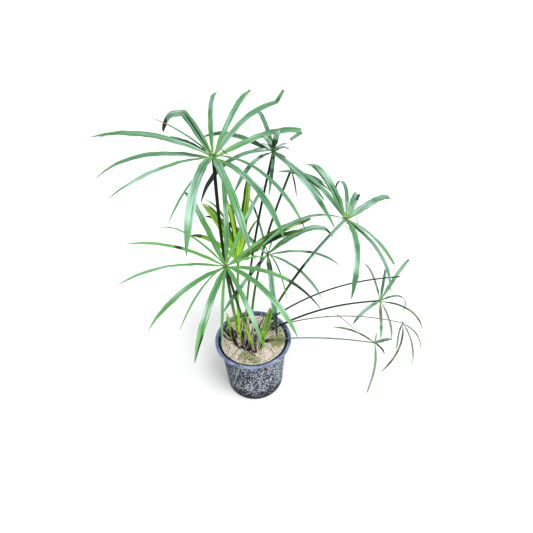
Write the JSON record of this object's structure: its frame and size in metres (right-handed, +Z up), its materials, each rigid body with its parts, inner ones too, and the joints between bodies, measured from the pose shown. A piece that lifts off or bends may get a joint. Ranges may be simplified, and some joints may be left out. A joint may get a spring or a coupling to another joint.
{
  "type": "potted umbrella sedge",
  "caption": "Umbrella sedge in a round rimmed nursery pot: leafless stems rise from sandy soil, each ending in a ring of long arching leaf-like bracts, some low and dry.",
  "frame": {"origin": "centre of the pot's flat underside", "axes": "+Z up along the pot's axis; -Y is the front that the picture shows; +X is to the right, where the low stems reach out over the rim"},
  "size_m": [0.6448, 0.5313, 0.6767],
  "materials": {
    "pot_plastic": "moulded polypropylene with a mottled chalky crust, paler blue-grey rim",
    "sandy_soil": "loose sandy potting soil with moss patches",
    "leaf_green": "waxy mid-green leaf with fine parallel veins",
    "young_green": "fresh bright green leaf and stem",
    "culm_green": "smooth dark green stem",
    "dry_straw": "dry straw-coloured stem and leaf"
  },
  "bodies": {
    "root": {"bract_front_a": "leaf_green", "bract_front_b": "leaf_green", "bract_front_c": "leaf_green", "bract_front_d": "leaf_green", "bract_front_e": "leaf_green", "bract_front_f": "leaf_green", "bract_front_g": "leaf_green", "bract_front_h": "leaf_green", "bract_front_i": "leaf_green", "bract_front_j": "leaf_green", "bract_front_k": "leaf_green", "bract_front_l": "leaf_green", "bract_front_m": "leaf_green", "bract_front_n": "leaf_green", "bract_front_o": "leaf_green", "bract_top_a": "leaf_green", "bract_top_b": "leaf_green", "bract_top_c": "leaf_green", "bract_top_d": "leaf_green", "bract_top_e": "leaf_green", "bract_top_f": "leaf_green", "bract_top_g": "leaf_green", "bract_top_j": "leaf_green", "bract_top_k": "leaf_green", "bract_top_l": "leaf_green", "bract_top_m": "leaf_green", "bract_top_n": "leaf_green", "bract_top_o": "leaf_green", "bract_top_p": "leaf_green", "bract_top_q": "leaf_green", "crown_back": "leaf_green", "crown_dry": "dry_straw", "crown_low_right": "leaf_green", "crown_lowest": "leaf_green", "crown_middle": "leaf_green", "crown_rear": "leaf_green", "crown_right": "leaf_green", "crown_young": "young_green", "culm_back": "culm_green", "culm_bare": "dry_straw", "culm_dry": "dry_straw", "culm_front": "culm_green", "culm_low_right": "culm_green", "culm_lowest": "culm_green", "culm_middle": "culm_green", "culm_rear": "culm_green", "culm_right": "culm_green", "culm_top": "culm_green", "culm_young": "young_green", "pot": "pot_plastic", "shoot_left": "young_green", "shoot_right": "young_green", "soil": "sandy_soil", "stalk_pale_left": "dry_straw", "stalk_pale_right": "dry_straw"}
  },
  "joints": []
}
